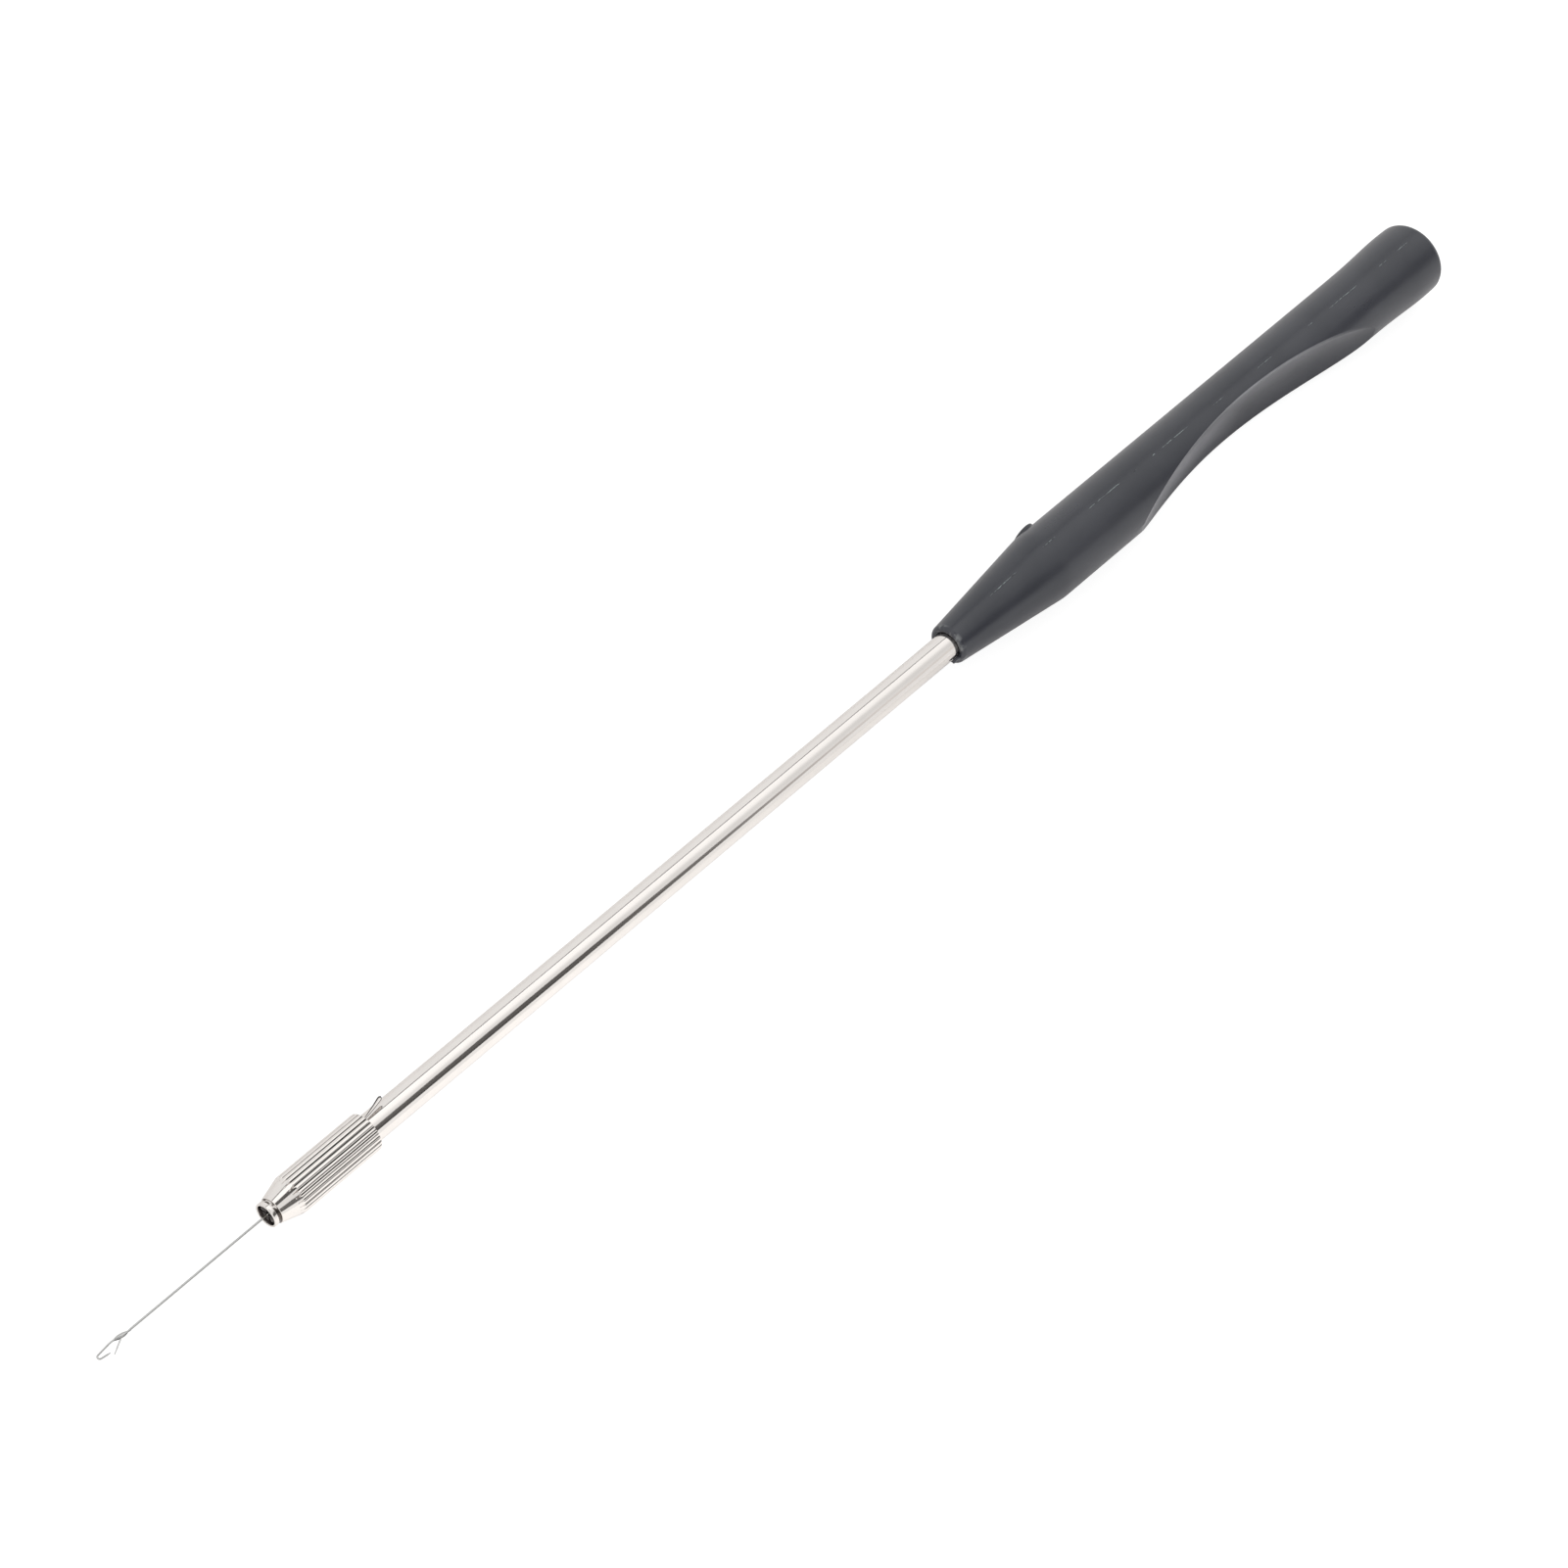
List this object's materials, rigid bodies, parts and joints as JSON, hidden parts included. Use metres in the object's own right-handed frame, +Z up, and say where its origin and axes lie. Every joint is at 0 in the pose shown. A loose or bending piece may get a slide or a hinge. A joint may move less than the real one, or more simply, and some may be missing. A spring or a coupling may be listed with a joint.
{
  "type": "latch hook needle tool",
  "caption": "Long-shank hand tool: black moulded handle with a thumb scoop, plated shaft, knurled pin-vise chuck nut and a fine latch-hook needle.",
  "frame": {"origin": "centre of the handle's flat butt face", "axes": "+X along the tool from the butt to the hook, +Y out of the thumb scoop, +Z up, along the parting plane of the moulded handle"},
  "size_m": [0.3049, 0.013, 0.013],
  "materials": {
    "handle_plastic": "satin",
    "shaft_plate": "polished",
    "nut_plate": "polished",
    "bare_steel": "satin",
    "dark_steel": "satin",
    "needle_steel": "polished"
  },
  "bodies": {
    "grip": {"handle": "handle_plastic", "shaft_tube": "shaft_plate", "collet_holder": "bare_steel"},
    "jaws": {"collet": "dark_steel"},
    "nut": {"chuck_nut": "nut_plate"},
    "needle_body": {"needle": "needle_steel", "latch_rivet": "needle_steel"},
    "latch_body": {"latch": "needle_steel"}
  },
  "joints": [
    {"name": "collet_travel", "type": "slide", "parent": "grip", "child": "jaws", "axis": [1, 0, 0], "range_m": [0, 0.004]},
    {"name": "nut_spin", "type": "hinge", "parent": "jaws", "child": "nut", "pos_m": [0.264, 0, 0], "axis": [1, 0, 0], "range_deg": [0, 2880]},
    {"name": "needle_slide", "type": "slide", "parent": "jaws", "child": "needle_body", "axis": [1, 0, 0], "range_m": [-0.022, 0.014]},
    {"name": "latch_swing", "type": "hinge", "parent": "needle_body", "child": "latch_body", "pos_m": [0.3003, 0, 0], "axis": [0, 0, 1], "range_deg": [-7, 130]}
  ],
  "couplings": [
    {"joint": "nut_spin", "follows": "collet_travel", "rad_per_m": 12566}
  ]
}
